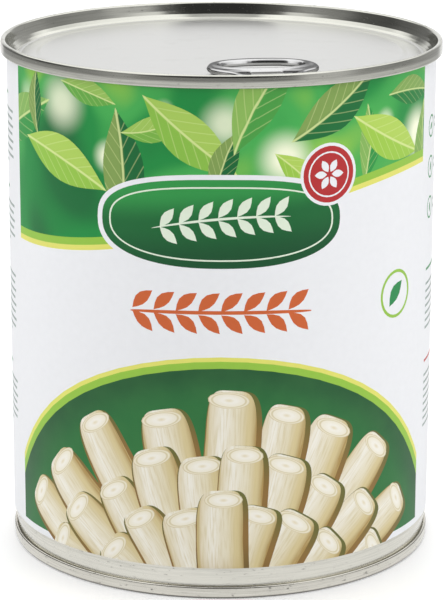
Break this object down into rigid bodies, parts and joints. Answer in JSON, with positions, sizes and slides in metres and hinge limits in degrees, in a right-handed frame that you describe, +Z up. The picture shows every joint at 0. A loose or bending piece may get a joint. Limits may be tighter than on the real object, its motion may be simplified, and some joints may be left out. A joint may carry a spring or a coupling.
{
  "type": "ring-pull food tin",
  "caption": "Round steel food tin with double-seamed ends, a ring-pull lid, a necked base and a printed paper label, packed with peeled and cut salsify root.",
  "frame": {"origin": "centre of the circle that the tin stands on, at the lowest plane of its base seam", "axes": "+Z up along the tin's axis, -Y to the front of the label, +X to the right of someone facing the front"},
  "size_m": [0.1018, 0.1018, 0.1194],
  "materials": {
    "body_tinplate": "satin",
    "end_tinplate": "satin",
    "lid_steel": "gloss",
    "tab_steel": "gloss",
    "seam_compound": "matte",
    "label_paper": "satin",
    "salsify_flesh": "satin"
  },
  "bodies": {
    "tin": {"can_body": "body_tinplate", "base_end": "end_tinplate", "easy_open_lid": "lid_steel", "lid_seam_compound": "seam_compound", "base_seam_compound": "seam_compound", "paper_label": "label_paper", "rivet_tongue": "tab_steel", "salsify_piece_01": "salsify_flesh", "salsify_piece_02": "salsify_flesh", "salsify_piece_03": "salsify_flesh", "salsify_piece_04": "salsify_flesh", "salsify_piece_05": "salsify_flesh", "salsify_piece_06": "salsify_flesh", "salsify_piece_07": "salsify_flesh", "salsify_piece_08": "salsify_flesh", "salsify_piece_09": "salsify_flesh", "salsify_piece_10": "salsify_flesh", "salsify_piece_11": "salsify_flesh", "salsify_piece_12": "salsify_flesh", "salsify_piece_13": "salsify_flesh", "salsify_piece_14": "salsify_flesh", "salsify_piece_15": "salsify_flesh", "salsify_piece_16": "salsify_flesh", "salsify_piece_17": "salsify_flesh", "salsify_piece_18": "salsify_flesh", "salsify_piece_19": "salsify_flesh", "salsify_piece_20": "salsify_flesh", "salsify_piece_21": "salsify_flesh", "salsify_piece_22": "salsify_flesh", "salsify_piece_23": "salsify_flesh", "salsify_piece_24": "salsify_flesh", "salsify_piece_25": "salsify_flesh", "salsify_piece_26": "salsify_flesh", "salsify_piece_27": "salsify_flesh", "salsify_piece_28": "salsify_flesh", "salsify_piece_29": "salsify_flesh", "salsify_piece_30": "salsify_flesh", "salsify_piece_31": "salsify_flesh", "salsify_piece_32": "salsify_flesh", "salsify_piece_33": "salsify_flesh", "salsify_piece_34": "salsify_flesh", "salsify_piece_35": "salsify_flesh", "salsify_piece_36": "salsify_flesh", "salsify_piece_37": "salsify_flesh", "salsify_piece_38": "salsify_flesh"},
    "tab": {"pull_tab": "tab_steel"}
  },
  "joints": [
    {"name": "tab_lift", "type": "hinge", "parent": "tin", "child": "tab", "pos_m": [0.0106, -0.04197, 0.1166], "axis": [0.9903, 0.1392, 0], "range_deg": [0, 26]}
  ]
}
